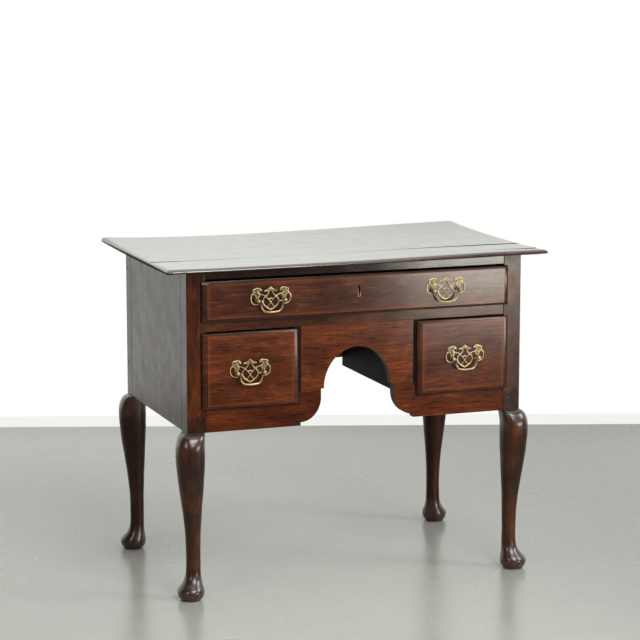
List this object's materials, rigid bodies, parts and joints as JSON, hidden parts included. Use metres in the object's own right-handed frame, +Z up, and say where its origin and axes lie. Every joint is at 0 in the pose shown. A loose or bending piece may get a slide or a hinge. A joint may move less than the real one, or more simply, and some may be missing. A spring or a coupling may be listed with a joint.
{
  "type": "lowboy",
  "caption": "Lowboy dressing table with one long drawer over two small ones, an arched kneehole apron, cabriole legs on pad feet and pierced brass bail handles.",
  "frame": {"origin": "on the floor, under the middle of the top's outline", "axes": "+X along the width to the viewer's right, +Y from the drawer fronts towards the back, +Z up"},
  "size_m": [0.844, 0.528, 0.708],
  "materials": {
    "dark_wood": "old waxed oak, dark reddish brown, semi-gloss",
    "secondary_wood": "unfinished dry oak and pine, aged brown",
    "aged_brass": "aged cast brass, rubbed bright on the high points",
    "lock_iron": "dark iron with a dull sheen"
  },
  "bodies": {
    "carcase": {"leg_front_left": "dark_wood", "leg_front_right": "dark_wood", "leg_back_left": "dark_wood", "leg_back_right": "dark_wood", "side_panel_left": "dark_wood", "side_panel_right": "dark_wood", "back_board_lower": "secondary_wood", "back_board_upper": "secondary_wood", "top_rail": "dark_wood", "mid_rail": "dark_wood", "bottom_rail_left": "dark_wood", "bottom_rail_right": "dark_wood", "apron_board": "dark_wood", "partition_left": "dark_wood", "partition_right": "dark_wood", "long_runner_left": "secondary_wood", "long_runner_right": "secondary_wood", "side_runner_left": "secondary_wood", "side_runner_right": "secondary_wood", "inner_runner_left": "secondary_wood", "inner_runner_right": "secondary_wood", "kicker_left": "secondary_wood", "kicker_right": "secondary_wood", "top_board_front": "dark_wood", "top_board_back": "dark_wood"},
    "long_drawer": {"long_drawer_front": "dark_wood", "long_drawer_side_left": "secondary_wood", "long_drawer_side_right": "secondary_wood", "long_drawer_back": "secondary_wood", "long_drawer_bottom": "secondary_wood", "lock_case": "lock_iron", "long_handle_left_plate": "aged_brass", "long_handle_left_post_left": "aged_brass", "long_handle_left_post_right": "aged_brass", "long_handle_right_plate": "aged_brass", "long_handle_right_post_left": "aged_brass", "long_handle_right_post_right": "aged_brass"},
    "left_drawer": {"left_drawer_front": "dark_wood", "left_drawer_side_left": "secondary_wood", "left_drawer_side_right": "secondary_wood", "left_drawer_back": "secondary_wood", "left_drawer_bottom": "secondary_wood", "left_handle_plate": "aged_brass", "left_handle_post_left": "aged_brass", "left_handle_post_right": "aged_brass"},
    "right_drawer": {"right_drawer_front": "dark_wood", "right_drawer_side_left": "secondary_wood", "right_drawer_side_right": "secondary_wood", "right_drawer_back": "secondary_wood", "right_drawer_bottom": "secondary_wood", "right_handle_plate": "aged_brass", "right_handle_post_left": "aged_brass", "right_handle_post_right": "aged_brass"},
    "long_handle_left_bail": {"long_handle_left_bail": "aged_brass"},
    "long_handle_right_bail": {"long_handle_right_bail": "aged_brass"},
    "left_handle_bail": {"left_handle_bail": "aged_brass"},
    "right_handle_bail": {"right_handle_bail": "aged_brass"},
    "lock_bolt": {"lock_bolt": "lock_iron"}
  },
  "joints": [
    {"name": "long_drawer_slide", "type": "slide", "parent": "carcase", "child": "long_drawer", "axis": [0, -1, 0], "range_m": [0, 0.3]},
    {"name": "left_drawer_slide", "type": "slide", "parent": "carcase", "child": "left_drawer", "axis": [0, -1, 0], "range_m": [0, 0.3]},
    {"name": "right_drawer_slide", "type": "slide", "parent": "carcase", "child": "right_drawer", "axis": [0, -1, 0], "range_m": [0, 0.3]},
    {"name": "long_handle_left_swing", "type": "hinge", "parent": "long_drawer", "child": "long_handle_left_bail", "pos_m": [-0.196, -0.2428, 0.627], "axis": [-1, 0, 0], "range_deg": [-14, 190]},
    {"name": "long_handle_right_swing", "type": "hinge", "parent": "long_drawer", "child": "long_handle_right_bail", "pos_m": [0.196, -0.2428, 0.627], "axis": [-1, 0, 0], "range_deg": [-14, 190]},
    {"name": "left_handle_swing", "type": "hinge", "parent": "left_drawer", "child": "left_handle_bail", "pos_m": [-0.2415, -0.2428, 0.478], "axis": [-1, 0, 0], "range_deg": [-14, 190]},
    {"name": "right_handle_swing", "type": "hinge", "parent": "right_drawer", "child": "right_handle_bail", "pos_m": [0.2415, -0.2428, 0.478], "axis": [-1, 0, 0], "range_deg": [-14, 190]},
    {"name": "lock_bolt_slide", "type": "slide", "parent": "long_drawer", "child": "lock_bolt", "axis": [0, 0, 1], "range_m": [0, 0.008]}
  ]
}
